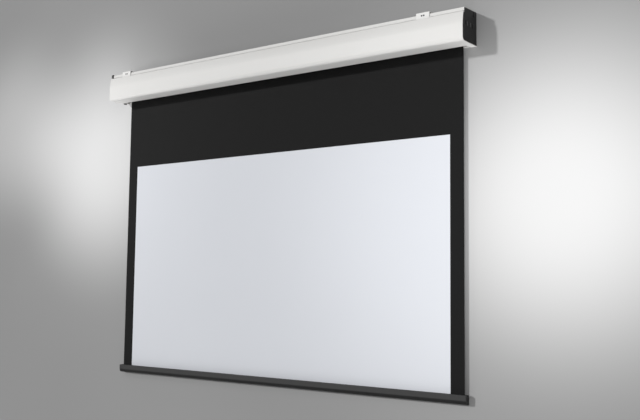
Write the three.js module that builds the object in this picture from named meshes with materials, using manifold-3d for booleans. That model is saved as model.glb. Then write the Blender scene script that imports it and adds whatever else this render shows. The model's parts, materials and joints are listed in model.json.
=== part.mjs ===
// Motorized projector screen for a wall: a white case with a tubular motor and a roller inside,
// a black and white screen cloth, a weighted bottom bar, and two brackets that slide on the case.
// Millimetres, +Z up, +X to the viewer's right, and the viewer on the -Y side.
// The origin is the middle of the case's flat back face, which lies against the wall.

import * as THREE from "three";
import { mergeVertices } from "three/addons/utils/BufferGeometryUtils.js";
import Module from "manifold-3d";

const wasm = await Module();
wasm.setup();

// Clearances, and how far a cutter runs past the face that it opens.
const seat = 0.3;
const overrun = 1;

// Screen cloth. The drop is the black part that shows between the case and the white area.
const viewWidth = 1800;
const viewHeight = 1012.5;
const borderWidth = 60;
const dropHeight = 340;
const clothThickness = 0.5;
const clothFromWall = 16;

// Case, outside.
const caseHeight = 134;
const caseDepth = 124;
const bandHeight = 14.5;
const bandSetback = 14;
const bandRounding = 2.5;
const grooveHeight = 3.4;
const browDepth = 7;
const bendBelowTop = 48;
const crestBelowTop = 67;
const bendShares = { brow: 0.4, crest: 0.5 };
const cornerDepth = 14;
const cornerHeight = 17;
const cornerShares = { down: 0.55, depth: 0.45 };
const slotLipWidth = 20;
const slotLipLift = 1;
const slotLipRise = 9;
const slotAheadOfCloth = 22;
const slotBehindCloth = 7.5;
const slotEndRise = 1.2;
const floorRise = 5;
const rearLipRise = 10;

// Case, walls and joints between its two shells.
const housingWall = 2;
const coverWall = 2.4;
const returnDepth = 5.5;
const hookRise = 1.8;
const portSize = 7;
const portHoleDepth = 20;
const rearPortBelowMiddle = 38;

// Rail on top of the case, which the brackets clamp on.
const railHeight = 5;
const railWidth = 31;
const railFromWall = 4;
const railWall = 1.8;
const railMouth = 13;

// End caps.
const capRecess = 1;
const capThickness = 3;
const capFloorThickness = 3;
const capRibReach = 10;
const capRibThickness = 3;
const capTopRibFromBand = 20;
const capTopRibFromWall = 42;
const capLowRibFromCorner = 26;
const capLowRibFromWall = 64;
const capMarkHeight = 17;
const capMarkWidth = 4.4;
const capMarkDepth = 2.2;
const capMarkAboveMiddle = 8;
const capSlotFromWall = 34;
const capFrontSlotFromFront = 27;
const capRearRibFromWall = 55;
const capFrontRibFromFront = 43;
const capNotchFromWall = 28.5;
const capNotchHeight = 22;

// Clip round the left end of the band.
const bandClipWidth = 11.5;
const bandClipWall = 3;
const bandClipReach = 5;
const bandClipRise = 1;

// Fasteners: head and shank radii, head heights and lengths.
const capScrewHead = 3.2;
const capScrewShank = 1.6;
const capScrewHeadHeight = 1.6;
const capScrewLength = 14;
const supportScrewHead = 4.5;
const supportScrewShank = 2.2;
const supportScrewHeadHeight = 2.6;

// Supports that carry the roller, bent from sheet.
const supportSheet = 2.5;
const supportFlange = 24;
const supportBelowAxis = 32;
const supportAboveAxis = 34;
const supportFrontOfAxis = 30;
const supportScrewSpacing = 36;

// Roller tube, its key channel and what it carries.
const rollerAboveMiddle = 6;
const tubeRadius = 30;
const tubeWall = 1.6;
const keyWidth = 5;
const keyDepth = 4.5;
const rollThickness = 1;
const tubePastCloth = 7.6;
const splineGap = 0.3;

// Tubular motor.
const motorRadius = 20;
const motorLength = 410;
const headRadius = 24;
const headLength = 26;
const headBossFront = 28;
const headBossHeight = 28;
const headBossInset = 4;
const studSize = 10;
const studLength = 4.6;
const studEndGap = 1.4;
const clipThickness = 1.2;
const clipWidth = 22;
const clipHeight = 26;
const clipNotchDepth = 1.5;
const limitScrewRadius = 2.5;
const limitScrewLength = 7;
const limitScrewSpacing = 14;
const limitScrewProud = 0.6;
const limitScrewSlotWidth = 0.9;
const limitScrewSlotDepth = 1.2;
const crownFlange = 3;
const crownSleeve = 22;
const shaftSize = 14;
const shaftLength = 34;
const driveWheelLength = 20;
const driveWheelSetback = 8;

// Idler end of the roller.
const plugLength = 25;
const plugFlange = 3;
const pinRadius = 6;
const pinPastSupport = 2.4;
const bushRadius = 10;
const bushFlangeRadius = 13;
const bushFlange = 2.2;
const circlipThickness = 1;
const circlipRadius = 8.5;
const circlipGrooveDepth = 1;

// Cable gland under the left end, and the motor's lead to it.
const glandBore = 3.6;
const glandShank = 5.4;
const glandHexAcross = 15;
const glandHexHeight = 4;
const glandShankRise = 12;
const glandNutHeight = 4.5;
const glandFromEnd = 13.5;
const glandFromWall = 27.5;
const leadRadius = 3;
const leadDrop = 10;

// Bottom bar.
const barPastCloth = 15;
const barSideGap = 10;
const barHeight = 37;
const barAheadOfCloth = 14;
const barBehindCloth = 6;
const barFaceHeight = 22;
const barNoseDepth = 12;
const barEdge = 1.2;
const barWall = 1.8;
const barCapThickness = 3;
const barPegLength = 12;
const barSlot = 3;
const hemSlotDepth = 5;
const hemRodRadius = 3.2;
const barChamberWidth = 6;
const barChamberHeight = 17;
const weightRadius = 5;
const weightBehindFace = 10;
const weightBelowTop = 28;
const weightEndGap = 0.6;

// Wall brackets, bent from sheet, and the places on the case where they are clamped.
const bracketWidth = 60;
const bracketSheet = 2.5;
const bracketLipDepth = 4.5;
const upstandHeight = 22;
const wallHoleRadius = 3.25;
const wallHoleSpacing = 36;
const setScrewRadius = 3.2;
const setScrewSpacing = 9.5;
const setScrewBelowTop = 4.5;
const setScrewProud = 0.4;
const clampScrewHead = 6;
const clampScrewShank = 3;
const clampScrewHeadHeight = 3;
const railNutLength = 30;
const railNutGap = 0.6;
const leftBracketFromEnd = 112;
const rightBracketFromEnd = 180;

// How round things are drawn.
const roundSides = 32;
const smallRoundSides = 14;
const curveSteps = 9;
const bandEdgeSteps = 3;

// Places that follow from the sizes above.
const caseTop = caseHeight / 2;
const caseBottom = -caseHeight / 2;
const clothY = -clothFromWall;
const clothHalf = viewWidth / 2 + borderWidth;
const tubeEnd = clothHalf + tubePastCloth;
const crownOuterX = tubeEnd + seat + crownFlange;
const headInnerX = crownOuterX + seat;
const supportInnerX = headInnerX + headLength + seat;
const supportOuterX = supportInnerX + supportSheet;
const capInnerX = supportOuterX + studLength + studEndGap;
const capOuterX = capInnerX + capThickness;
const caseEnd = capOuterX + capRecess;
const clothFront = clothY - clothThickness / 2;
const clothBack = clothY + clothThickness / 2;
const viewTop = caseBottom - dropHeight;
const viewBottom = viewTop - viewHeight;
const bandY = bandSetback - caseDepth;
const bandBottom = caseTop - bandHeight;
const grooveBottom = bandBottom - grooveHeight;
const hookY = bandY + returnDepth + seat;
const hookTop = bandBottom + housingWall + hookRise;
const floorZ = caseBottom + floorRise;
const slotFrontY = clothY - slotAheadOfCloth;
const slotRearY = clothY + slotBehindCloth;
const slotLipTop = caseBottom + slotLipRise;
const slotLipZ = caseBottom + slotLipLift;
const capFloorZ = slotLipZ + coverWall + seat;
const railTop = caseTop + railHeight;
const railRearY = -railFromWall;
const railFrontY = railRearY - railWidth;
const railMiddleY = (railRearY + railFrontY) / 2;
const plugOuterX = tubeEnd + seat + plugFlange;
const tubeBore = tubeRadius - tubeWall;
const keyFloor = tubeRadius - keyDepth;
const keyInside = keyFloor - tubeWall;
const rollInner = tubeRadius + seat;
const rollRadius = rollInner + rollThickness;
const axisY = clothFront - seat - rollRadius;
const axisZ = rollerAboveMiddle;
const motorEndX = crownOuterX - motorLength;
const supportFrontY = axisY - supportFrontOfAxis;
const supportBackY = -housingWall - seat;
const supportTop = axisZ + supportAboveAxis;
const supportBottom = axisZ - supportBelowAxis;
const barTop = viewBottom;
const barBottom = barTop - barHeight;
const barFrontY = clothY - barAheadOfCloth;
const barRearY = clothY + barBehindCloth;
const barEnd = clothHalf + barPastCloth;
const slotEnd = barEnd + barSideGap;
const barProfileEnd = barEnd - barCapThickness - seat;
const hemHalf = hemRodRadius + seat;
const hemZ = barTop - hemSlotDepth - hemHalf;
const clothBottom = hemZ + hemRodRadius + seat;
const chamberFrontY = barFrontY + barWall;
const chamberTop = barTop - barWall;
const weightY = barFrontY + weightBehindFace;
const weightZ = barTop - weightBelowTop;
const glandX = glandFromEnd - caseEnd;
const glandY = -glandFromWall;
const glandTop = caseBottom + glandShankRise;
const skirtY = bandY - seat - bracketSheet / 2;
const lipZ = (bandBottom + grooveBottom) / 2;
const bracketPlateZ = railTop + seat + bracketSheet / 2;
const bracketPlateTop = bracketPlateZ + bracketSheet / 2;
const upstandY = -bracketSheet / 2;
const upstandTop = bracketPlateTop + upstandHeight;
const bracketPlaces = { left: leftBracketFromEnd - caseEnd, right: caseEnd - rightBracketFromEnd };
const railNutTop = railTop - railWall - seat;
const railNutBottom = caseTop + seat;

// Finishes.
const finish = (color, roughness, metalness) =>
  new THREE.MeshStandardMaterial({ color, roughness, metalness });
const whiteCase = finish(0xe9e8e3, 0.38, 0.1);
const blackPlastic = finish(0x232323, 0.55, 0);
const blackScrew = finish(0x1b1b1c, 0.45, 0.6);
const zincSteel = finish(0xb9bcc0, 0.4, 0.9);
const millAluminium = finish(0xc3c5c8, 0.42, 0.9);
const motorSteel = finish(0x8f9296, 0.35, 0.9);
const greyBar = finish(0x3a3b3d, 0.5, 0.5);
const whiteCloth = finish(0xe6e8ec, 0.85, 0);
const blackCloth = finish(0x1e1e1f, 0.9, 0);
const greyPlastic = finish(0x55585c, 0.6, 0);

// A closed three.js geometry as a solid that can be cut and joined.
function solidOf(geometry) {
  const plain = geometry.clone();
  plain.deleteAttribute("normal");
  plain.deleteAttribute("uv");
  const merged = mergeVertices(plain);
  return new wasm.Manifold(
    new wasm.Mesh({
      numProp: 3,
      vertProperties: merged.getAttribute("position").array,
      triVerts: new Uint32Array(merged.index.array),
    }),
  );
}

// A cut or joined solid as a geometry again.
function geometryOf(solid) {
  const mesh = solid.getMesh();
  const geometry = new THREE.BufferGeometry();
  geometry.setAttribute("position", new THREE.BufferAttribute(mesh.vertProperties, mesh.numProp));
  geometry.setIndex(new THREE.BufferAttribute(mesh.triVerts, 1));
  geometry.computeVertexNormals();
  return geometry;
}

// Cuts every geometry in the list from the first one.
function cut(base, ...cutters) {
  const left = cutters.reduce((solid, cutter) => solid.subtract(solidOf(cutter)), solidOf(base));
  return geometryOf(left);
}

function join(...pieces) {
  const whole = pieces.slice(1).reduce((solid, piece) => solid.add(solidOf(piece)), solidOf(pieces[0]));
  return geometryOf(whole);
}

// A box between two opposite corners, given as ranges along X, Y and Z.
function block([x0, x1], [y0, y1], [z0, z1]) {
  const box = new THREE.BoxGeometry(Math.abs(x1 - x0), Math.abs(y1 - y0), Math.abs(z1 - z0));
  return box.translate((x0 + x1) / 2, (y0 + y1) / 2, (z0 + z1) / 2);
}

// Points of an outline in the YZ plane, drawn out along X.
function slab(outline, [x0, x1]) {
  const shape = new THREE.Shape(outline.map(([y, z]) => new THREE.Vector2(y, z)));
  const start = Math.min(x0, x1);
  const drawn = new THREE.ExtrudeGeometry(shape, { depth: Math.abs(x1 - x0), bevelEnabled: false });
  const turn = new THREE.Matrix4().set(0, 0, 1, start, 1, 0, 0, 0, 0, 1, 0, 0, 0, 0, 0, 1);
  return drawn.applyMatrix4(turn);
}

// A round bar along X.
function bar(radius, [x0, x1], [y, z], sides = roundSides) {
  const round = new THREE.CylinderGeometry(radius, radius, Math.abs(x1 - x0), sides);
  return round.rotateZ(Math.PI / 2).translate((x0 + x1) / 2, y, z);
}

// A round bar along Z.
function post(radius, [z0, z1], [x, y], sides = smallRoundSides) {
  const round = new THREE.CylinderGeometry(radius, radius, Math.abs(z1 - z0), sides);
  return round.rotateX(Math.PI / 2).translate(x, y, (z0 + z1) / 2);
}

// A round bar along Y.
function peg(radius, [y0, y1], [x, z], sides = smallRoundSides) {
  const round = new THREE.CylinderGeometry(radius, radius, Math.abs(y1 - y0), sides);
  return round.translate(x, (y0 + y1) / 2, z);
}

// A line moved sideways by a distance, to the left of its own direction, with mitred corners.
function offsetLine(points, distance) {
  const steps = points.slice(1).map(([y, z], i) => {
    return new THREE.Vector2(y - points[i][0], z - points[i][1]).normalize();
  });
  return points.map(([y, z], i) => {
    const before = steps[Math.max(i - 1, 0)];
    const after = steps[Math.min(i, steps.length - 1)];
    const sum = new THREE.Vector2(-before.y - after.y, before.x + after.x);
    const stretch = distance / (1 + before.dot(after));
    return [y + sum.x * stretch, z + sum.y * stretch];
  });
}

// A bent sheet seen from its end: the stretch between two lines that run beside one another.
function sheetOutline(points, near, far) {
  return [...offsetLine(points, near), ...offsetLine(points, far).reverse()];
}

// Points along a curve, as pairs.
function sampled(curve, steps = curveSteps) {
  return curve.getPoints(steps).map((p) => [p.x, p.y]);
}

// A screw with its head above the origin and its shank below it, along Z.
function screwGeometry(head, headHeight, shank, length) {
  const chamferShare = 0.3;
  const profile = [
    [0, -length],
    [shank, -length],
    [shank, 0],
    [head, 0],
    [head, headHeight * (1 - chamferShare)],
    [head * (1 - chamferShare), headHeight],
    [0, headHeight],
  ];
  const lathe = new THREE.LatheGeometry(profile.map(([r, z]) => new THREE.Vector2(r, z)), smallRoundSides);
  return lathe.rotateX(Math.PI / 2);
}

function named(name, geometry, material) {
  const mesh = new THREE.Mesh(geometry, material);
  mesh.name = name;
  return mesh;
}

// The outside line of the front cover, from its hook behind the band down to the lip at the slot.
function coverLine() {
  const brow = new THREE.Vector2(bandY - browDepth, grooveBottom);
  const bend = new THREE.Vector2(-caseDepth, caseTop - bendBelowTop);
  const crest = new THREE.Vector2(-caseDepth, caseTop - crestBelowTop);
  const bulge = new THREE.CubicBezierCurve(
    brow,
    brow.clone().lerp(bend, bendShares.brow),
    crest.clone().lerp(bend, bendShares.crest),
    crest,
  );
  const cornerTop = caseBottom + cornerHeight;
  const corner = new THREE.CubicBezierCurve(
    new THREE.Vector2(-caseDepth, cornerTop),
    new THREE.Vector2(-caseDepth, cornerTop - cornerHeight * cornerShares.down),
    new THREE.Vector2(cornerDepth * cornerShares.depth - caseDepth, caseBottom),
    new THREE.Vector2(cornerDepth - caseDepth, caseBottom),
  );
  return [
    [hookY, hookTop],
    [hookY, grooveBottom],
    ...sampled(bulge),
    ...sampled(corner),
    [slotFrontY - slotLipWidth, caseBottom],
    [slotFrontY, slotLipZ],
    [slotFrontY, slotLipTop],
  ];
}

// The outside line of the strip that closes each end of the slot, from its front lip to the wall.
function slotEndLine() {
  return [
    [slotFrontY - coverWall / 2, slotLipZ],
    [slotRearY, slotLipZ],
    [-seat, slotLipZ + slotEndRise],
  ];
}

// Rear housing: back, top and band in one bent wall, with the rail, three screw ports and the
// floor behind the cloth. The front cover hooks into the groove under the band.
function rearHousing() {
  const span = [-caseEnd, caseEnd];
  const bandEdge = new THREE.QuadraticBezierCurve(
    new THREE.Vector2(bandY + bandRounding, caseTop),
    new THREE.Vector2(bandY, caseTop),
    new THREE.Vector2(bandY, caseTop - bandRounding),
  );
  const wallLine = [
    [slotRearY, floorZ + rearLipRise],
    [slotRearY, floorZ],
    [0, floorZ],
    [0, caseTop],
    ...sampled(bandEdge, bandEdgeSteps),
    [bandY, bandBottom],
    [bandY + returnDepth, bandBottom],
  ];
  const shell = slab(sheetOutline(wallLine, 0, housingWall), span);
  const lipInner = (railWidth - railMouth) / 2;
  const railFoot = caseTop - housingWall / 2;
  const rail = [
    block(span, [railFrontY, railFrontY + railWall], [railFoot, railTop]),
    block(span, [railFrontY, railFrontY + lipInner], [railTop - railWall, railTop]),
    block(span, [railRearY - railWall, railRearY], [railFoot, railTop]),
    block(span, [railRearY - lipInner, railRearY], [railTop - railWall, railTop]),
  ];
  const ports = screwPorts().map(([y, z]) => {
    const half = portSize / 2;
    return block(span, [y - half, y + half], [z - half, z + half]);
  });
  const endCuts = [-1, 1].flatMap((side) => {
    const capStop = side * (capInnerX - seat);
    const past = side * (caseEnd + overrun);
    const room = [bandY + housingWall, overrun];
    const holeEnd = side * (capInnerX - portHoleDepth);
    const holes = screwPorts().map((place) => {
      return bar(capScrewShank + seat, [holeEnd, past], place, smallRoundSides);
    });
    return [block([capStop, past], room, [caseBottom - overrun, railTop + overrun]), ...holes];
  });
  const screwHoles = supportScrewPlaces().map(([x, z]) => {
    return peg(supportScrewShank + seat, [-housingWall - overrun, overrun], [x, z]);
  });
  return named("rear_housing", cut(join(shell, ...rail, ...ports), ...endCuts, ...screwHoles), whiteCase);
}

// Middles of the three screw ports, which reach into the housing's walls.
function screwPorts() {
  const inset = housingWall + portSize / 2 - seat;
  return [
    [-inset, caseTop - inset],
    [-inset, -rearPortBelowMiddle],
    [bandY + inset, caseTop - inset],
  ];
}

function supportScrewPlaces() {
  const x = supportInnerX - supportFlange / 2;
  return [-1, 1].flatMap((side) => [
    [side * x, axisZ - supportScrewSpacing / 2],
    [side * x, axisZ + supportScrewSpacing / 2],
  ]);
}

// Front cover: one bent wall, cut back at its ends where the caps sit behind the band and on its
// underside. Past the ends of the slot its underside goes on to the wall, and on the left the gland
// passes through.
function frontCover() {
  const shell = slab(sheetOutline(coverLine(), 0, coverWall), [-caseEnd, caseEnd]);
  const strips = [-1, 1].map((side) => {
    return slab(sheetOutline(slotEndLine(), 0, coverWall), [side * slotEnd, side * caseEnd]);
  });
  const glandHole = post(glandShank + seat, [slotLipZ - overrun, capFloorZ + overrun], [glandX, glandY]);
  const endCuts = [-1, 1].flatMap((side) => {
    const along = [side * (capInnerX - seat), side * (caseEnd + overrun)];
    const hookAcross = [bandY + housingWall, hookY + coverWall + overrun];
    const lipAcross = [slotFrontY - coverWall - overrun, slotFrontY + overrun];
    return [
      block(along, hookAcross, [grooveBottom - coverWall - seat, hookTop + overrun]),
      block(along, lipAcross, [slotLipZ + coverWall, slotLipTop + overrun]),
    ];
  });
  return named("front_cover", cut(join(shell, ...strips), ...endCuts, glandHole), whiteCase);
}

// The outline of an end cap: inside the cover, flush with the housing's back, and sloping up from
// the band to the top of the rail, whose end it hides.
function capOutline() {
  const inside = offsetLine(coverLine(), coverWall + seat);
  const face = inside.slice(2, -1);
  const bandInside = bandY + housingWall + seat;
  const stripInside = offsetLine(slotEndLine(), coverWall + seat);
  return [
    [0, floorZ],
    [0, railTop],
    [bandInside, caseTop],
    [bandInside, grooveBottom - coverWall - seat],
    ...face,
    stripInside[1],
  ];
}

// End cap: a moulded plate with a floor on the cover's end strip, ribs that locate it, and on
// its outside two slots, two raised ribs and a notch at the rail.
function endCap(side) {
  const plate = slab(capOutline(), [side * capInnerX, side * capOuterX]);
  const ribEnd = capInnerX - capRibReach;
  const root = capInnerX + overrun;
  const floor = block(
    [side * slotEnd, side * root],
    [slotFrontY + seat, slotRearY - seat],
    [capFloorZ, capFloorZ + capFloorThickness],
  );
  const topRibZ = caseTop - housingWall - seat;
  const topRib = block(
    [side * ribEnd, side * root],
    [bandY + capTopRibFromBand, -capTopRibFromWall],
    [topRibZ - capRibThickness, topRibZ],
  );
  const lowRibZ = caseBottom + coverWall + seat;
  const lowRib = block(
    [side * ribEnd, side * root],
    [cornerDepth + capLowRibFromCorner - caseDepth, -capLowRibFromWall],
    [lowRibZ, lowRibZ + capRibThickness],
  );
  const markLow = capMarkAboveMiddle - capMarkHeight / 2;
  const markHigh = capMarkAboveMiddle + capMarkHeight / 2;
  const raised = [-capRearRibFromWall, capFrontRibFromFront - caseDepth].map((y) => {
    return block(
      [side * (capOuterX - overrun), side * caseEnd],
      [y - capMarkWidth / 2, y + capMarkWidth / 2],
      [markLow, markHigh],
    );
  });
  const slots = [-capSlotFromWall, capFrontSlotFromFront - caseDepth].map((y) => {
    return block(
      [side * (capOuterX - capMarkDepth), side * (capOuterX + overrun)],
      [y - capMarkWidth / 2, y + capMarkWidth / 2],
      [markLow, markHigh],
    );
  });
  const notch = block(
    [side * (capOuterX - capMarkDepth), side * (capOuterX + overrun)],
    [-capNotchFromWall - capMarkWidth / 2, -capNotchFromWall + capMarkWidth / 2],
    [caseTop - capNotchHeight, caseTop],
  );
  const screwHoles = screwPorts().map((place) => {
    const through = [side * (capInnerX - overrun), side * (capOuterX + overrun)];
    return bar(capScrewShank + seat, through, place, smallRoundSides);
  });
  const headSeats = screwPorts().map((place) => {
    const seatX = capOuterX - capScrewHeadHeight - seat;
    return bar(capScrewHead + seat, [side * seatX, side * (capOuterX + overrun)], place, smallRoundSides);
  });
  const glandHole = post(
    glandShank + seat,
    [capFloorZ - overrun, capFloorZ + capFloorThickness + overrun],
    [glandX, glandY],
  );
  const solid = join(plate, floor, topRib, lowRib, ...raised);
  const openings = [...slots, notch, ...screwHoles, ...headSeats, ...(side < 0 ? [glandHole] : [])];
  return named(side < 0 ? "end_cap_left" : "end_cap_right", cut(solid, ...openings), blackPlastic);
}

function capScrews(side) {
  const word = side < 0 ? "left" : "right";
  return screwPorts().map(([y, z], i) => {
    const shape = screwGeometry(capScrewHead, capScrewHeadHeight, capScrewShank, capScrewLength);
    const screw = named(`cap_screw_${word}_${i + 1}`, shape, blackScrew);
    screw.position.set(side * (capOuterX - capScrewHeadHeight), y, z);
    screw.rotation.y = (side * Math.PI) / 2;
    return screw;
  });
}

// Black clip over the front and the top edge of the band, at its left end.
function bandClip() {
  const line = [
    [bandY - seat, bandBottom + bandClipRise],
    [bandY - seat, caseTop + seat],
    [bandY + bandClipReach, caseTop + seat],
  ];
  const span = [seat - caseEnd, bandClipWidth - caseEnd];
  return named("band_clip_left", slab(sheetOutline(line, 0, bandClipWall), span), blackPlastic);
}

// A support plate across the case, with a flange on the back wall that its two screws hold.
function supportPlate(side) {
  const plate = block(
    [side * supportInnerX, side * supportOuterX],
    [supportFrontY, supportBackY],
    [supportBottom, supportTop],
  );
  const flange = block(
    [side * (supportInnerX - supportFlange), side * supportOuterX],
    [supportBackY - supportSheet, supportBackY],
    [supportBottom, supportTop],
  );
  const holes = supportScrewPlaces()
    .filter(([x]) => x * side > 0)
    .map(([x, z]) => {
      const depth = [supportBackY - supportSheet - overrun, supportBackY + overrun];
      return peg(supportScrewShank + seat, depth, [x, z]);
    });
  return cut(join(plate, flange), ...holes);
}

function motorBracket() {
  const half = studSize / 2 + seat;
  const opening = block(
    [-supportOuterX - overrun, -supportInnerX + overrun],
    [axisY - half, axisY + half],
    [axisZ - half, axisZ + half],
  );
  return named("motor_bracket", cut(supportPlate(-1), opening), zincSteel);
}

function idlerBracket() {
  const through = [supportInnerX - overrun, supportOuterX + overrun];
  const opening = bar(bushRadius + seat, through, [axisY, axisZ]);
  return named("idler_bracket", cut(supportPlate(1), opening), zincSteel);
}

function supportScrews() {
  const length = supportSheet + seat + housingWall - seat;
  return supportScrewPlaces().map(([x, z], i) => {
    const word = x < 0 ? "motor" : "idler";
    const shape = screwGeometry(supportScrewHead, supportScrewHeadHeight, supportScrewShank, length);
    const screw = named(`${word}_bracket_screw_${(i % 2) + 1}`, shape, zincSteel);
    screw.position.set(x, supportBackY - supportSheet - seat, z);
    screw.rotation.x = Math.PI / 2;
    return screw;
  });
}

// Motor head: round, with a square stud through the bracket and a flat boss for the limit screws.
function motorHead() {
  const outer = -(supportInnerX - seat);
  const body = bar(headRadius, [outer, -headInnerX], [axisY, axisZ]);
  const stud = block(
    [outer - seat - supportSheet - studLength, outer + overrun],
    [axisY - studSize / 2, axisY + studSize / 2],
    [axisZ - studSize / 2, axisZ + studSize / 2],
  );
  const boss = block(
    [outer + headBossInset, -headInnerX - headBossInset],
    [axisY - headBossFront, axisY],
    [axisZ - headBossHeight / 2, axisZ + headBossHeight / 2],
  );
  const holes = limitScrewPlaces().map(([x, z]) => {
    const floor = axisY - headBossFront + limitScrewLength - limitScrewProud + seat;
    return peg(limitScrewRadius + seat, [axisY - headBossFront - overrun, floor], [x, z]);
  });
  const clipX = -supportOuterX - seat;
  const clipSlots = [-1, 1].map((way) => {
    const floor = axisY + way * (studSize / 2 - clipNotchDepth);
    const past = axisY + way * (studSize / 2 + overrun);
    return block(
      [clipX - clipThickness - seat, clipX],
      [floor, past],
      [axisZ - studSize, axisZ + studSize],
    );
  });
  return named("motor_head", cut(join(body, stud, boss), ...holes, ...clipSlots), greyPlastic);
}

function limitScrewPlaces() {
  const x = -(supportInnerX - seat + headInnerX) / 2;
  return [
    [x, axisZ + limitScrewSpacing / 2],
    [x, axisZ - limitScrewSpacing / 2],
  ];
}

function limitScrews() {
  return limitScrewPlaces().map(([x, z], i) => {
    const front = axisY - headBossFront - limitScrewProud;
    const body = peg(limitScrewRadius, [front, front + limitScrewLength], [x, z]);
    const slot = block(
      [x - limitScrewRadius - overrun, x + limitScrewRadius + overrun],
      [front - overrun, front + limitScrewSlotDepth],
      [z - limitScrewSlotWidth / 2, z + limitScrewSlotWidth / 2],
    );
    return named(i ? "limit_screw_down" : "limit_screw_up", cut(body, slot), zincSteel);
  });
}

// Spring clip on the stud's two grooves, outside the bracket.
function motorClip() {
  const outer = -supportOuterX - seat - clipThickness;
  const half = studSize / 2 - clipNotchDepth + seat;
  const plate = block(
    [outer, outer + clipThickness],
    [axisY - clipWidth / 2, axisY + clipWidth / 2],
    [axisZ - clipHeight / 2, axisZ + clipHeight / 2],
  );
  const mouth = block(
    [outer - overrun, outer + clipThickness + overrun],
    [axisY - half, axisY + half],
    [axisZ - clipHeight / 2 - overrun, axisZ + studSize / 2 + seat],
  );
  return named("motor_clip", cut(plate, mouth), zincSteel);
}

function motorTube() {
  return named("motor_tube", bar(motorRadius, [-crownOuterX, -motorEndX], [axisY, axisZ]), motorSteel);
}

// The channel that stands into the roller tube, with room for it when a plug is cut.
function keyChannel(gap, span) {
  const half = keyWidth / 2 + tubeWall + gap;
  return block(span, [axisY - half, axisY + half], [axisZ + keyInside - gap, axisZ + tubeRadius]);
}

function rollerTube() {
  const span = [-tubeEnd, tubeEnd];
  const past = [-tubeEnd - overrun, tubeEnd + overrun];
  const round = bar(tubeRadius, span, [axisY, axisZ]);
  const tube = cut(round, bar(tubeBore, past, [axisY, axisZ]));
  const channel = solidOf(keyChannel(0, span)).intersect(solidOf(round));
  const slot = block(
    past,
    [axisY - keyWidth / 2, axisY + keyWidth / 2],
    [axisZ + keyFloor, axisZ + tubeRadius + overrun],
  );
  const whole = solidOf(tube).add(channel).subtract(solidOf(slot));
  return named("roller_tube", geometryOf(whole), millAluminium);
}

// Strip that wedges the cloth's top edge into the tube's slot.
function fabricSpline() {
  const half = keyWidth / 2 - splineGap;
  const strip = block(
    [-clothHalf, clothHalf],
    [axisY - half, axisY + half],
    [axisZ + keyFloor + splineGap, axisZ + tubeRadius - splineGap],
  );
  return named("fabric_spline", strip, greyPlastic);
}

// Turns of cloth that stay on the tube when the screen is down.
function fabricRoll() {
  const span = [-clothHalf, clothHalf];
  const past = [-clothHalf - overrun, clothHalf + overrun];
  const round = bar(rollRadius, span, [axisY, axisZ]);
  return named("fabric_roll", cut(round, bar(rollInner, past, [axisY, axisZ])), blackCloth);
}

// A plug that fits the tube's bore and passes the key channel.
function tubePlug(span) {
  const longer = [Math.min(...span) - overrun, Math.max(...span) + overrun];
  return cut(bar(tubeBore - seat, span, [axisY, axisZ]), keyChannel(seat, longer));
}

function crownRing() {
  const flange = bar(tubeRadius, [-crownOuterX, -crownOuterX + crownFlange], [axisY, axisZ]);
  const sleeve = tubePlug([-crownOuterX + crownFlange / 2, -tubeEnd + crownSleeve]);
  const through = [-crownOuterX - overrun, -tubeEnd + crownSleeve + overrun];
  const bore = bar(motorRadius + seat, through, [axisY, axisZ]);
  return named("crown_ring", cut(join(flange, sleeve), bore), blackPlastic);
}

function squareBar(size, span) {
  const half = size / 2;
  return block(span, [axisY - half, axisY + half], [axisZ - half, axisZ + half]);
}

function outputShaft() {
  const start = -motorEndX + seat;
  return named("output_shaft", squareBar(shaftSize, [start, start + shaftLength]), zincSteel);
}

function driveWheel() {
  const start = -motorEndX + driveWheelSetback;
  const span = [start, start + driveWheelLength];
  const bore = squareBar(shaftSize + 2 * seat, [start - overrun, start + driveWheelLength + overrun]);
  return named("drive_wheel", cut(tubePlug(span), bore), blackPlastic);
}

function idlerPlug() {
  const flange = bar(tubeRadius, [tubeEnd + seat, plugOuterX], [axisY, axisZ]);
  const sleeve = tubePlug([tubeEnd - plugLength, tubeEnd + seat + plugFlange / 2]);
  const bore = bar(pinRadius + seat, [tubeEnd - plugLength - overrun, plugOuterX + overrun], [axisY, axisZ]);
  return named("idler_plug", cut(join(flange, sleeve), bore), blackPlastic);
}

function idlerPin() {
  const start = tubeEnd - plugLength;
  const end = supportOuterX + pinPastSupport;
  const pin = bar(pinRadius, [start, end], [axisY, axisZ]);
  const grooveX = circlipX();
  const grooveSpan = [grooveX - seat, grooveX + circlipThickness + seat];
  const past = [grooveX - overrun, grooveX + circlipThickness + overrun];
  const groove = cut(
    bar(pinRadius + overrun, grooveSpan, [axisY, axisZ]),
    bar(pinRadius - circlipGrooveDepth, past, [axisY, axisZ]),
  );
  return named("idler_pin", cut(pin, groove), zincSteel);
}

function circlipX() {
  return supportOuterX + seat;
}

// Ring on the pin's groove, open at the bottom.
function idlerCirclip() {
  const span = [circlipX(), circlipX() + circlipThickness];
  const past = [circlipX() - overrun, circlipX() + circlipThickness + overrun];
  const inner = pinRadius - circlipGrooveDepth + seat;
  const ring = cut(bar(circlipRadius, span, [axisY, axisZ]), bar(inner, past, [axisY, axisZ]));
  const mouth = block(
    past,
    [axisY - inner / 2, axisY + inner / 2],
    [axisZ - circlipRadius - overrun, axisZ],
  );
  return named("idler_circlip", cut(ring, mouth), zincSteel);
}

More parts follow.
